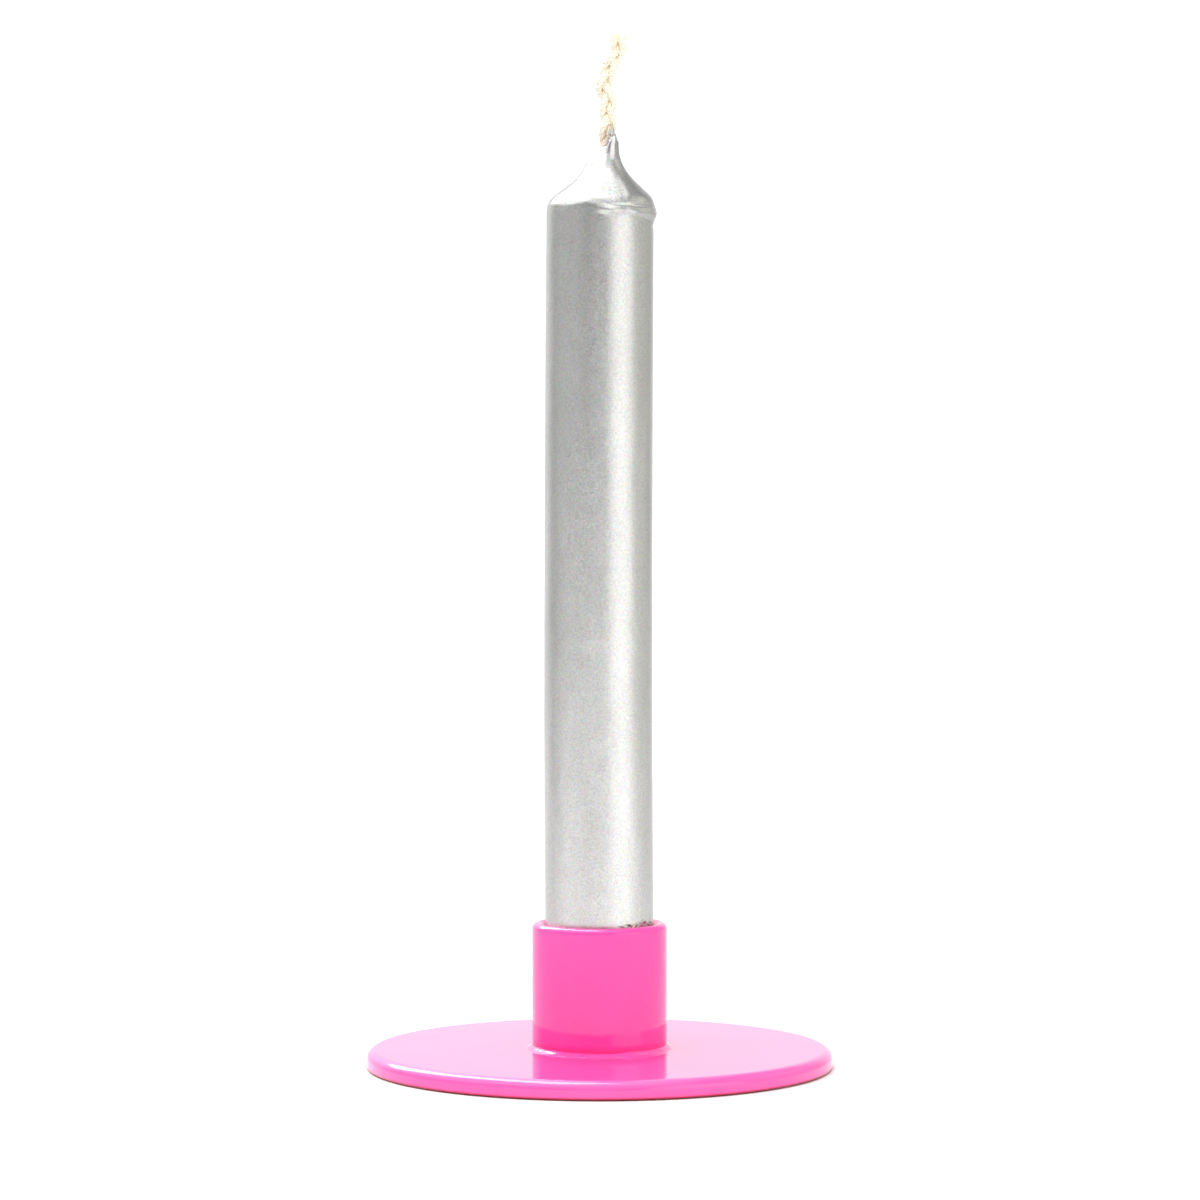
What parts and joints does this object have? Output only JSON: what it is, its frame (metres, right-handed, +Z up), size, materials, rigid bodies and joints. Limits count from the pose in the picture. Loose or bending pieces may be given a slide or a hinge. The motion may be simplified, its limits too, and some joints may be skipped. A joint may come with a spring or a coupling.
{
  "type": "mini party candle in a plate holder",
  "caption": "Slim silver mini candle with a hollow-sided tip and plaited wick, held upright in the socket of a flat round painted metal holder.",
  "frame": {"origin": "middle of the plate's flat underside", "axes": "+Z up along the candle; the wick's free end leans towards +X; -Y is the side seen in front"},
  "size_m": [0.055, 0.055, 0.122],
  "materials": {
    "pink_paint": "high gloss paint, pink",
    "white_wax": "matt wax, off-white",
    "silver_overdip": "satin metallic wax dip, silver, with a fine grain",
    "wick_cotton": "plaited cotton, cream"
  },
  "bodies": {
    "holder": {"base_plate": "pink_paint", "socket_tube": "pink_paint", "foot_weld": "pink_paint"},
    "candle": {"wax_core": "white_wax", "silver_coat": "silver_overdip", "wick_strand_a": "wick_cotton", "wick_strand_b": "wick_cotton", "wick_strand_c": "wick_cotton"}
  },
  "joints": [
    {"name": "candle_lift", "type": "slide", "parent": "holder", "child": "candle", "axis": [0, 0, 1], "range_m": [0, 0.03]}
  ]
}
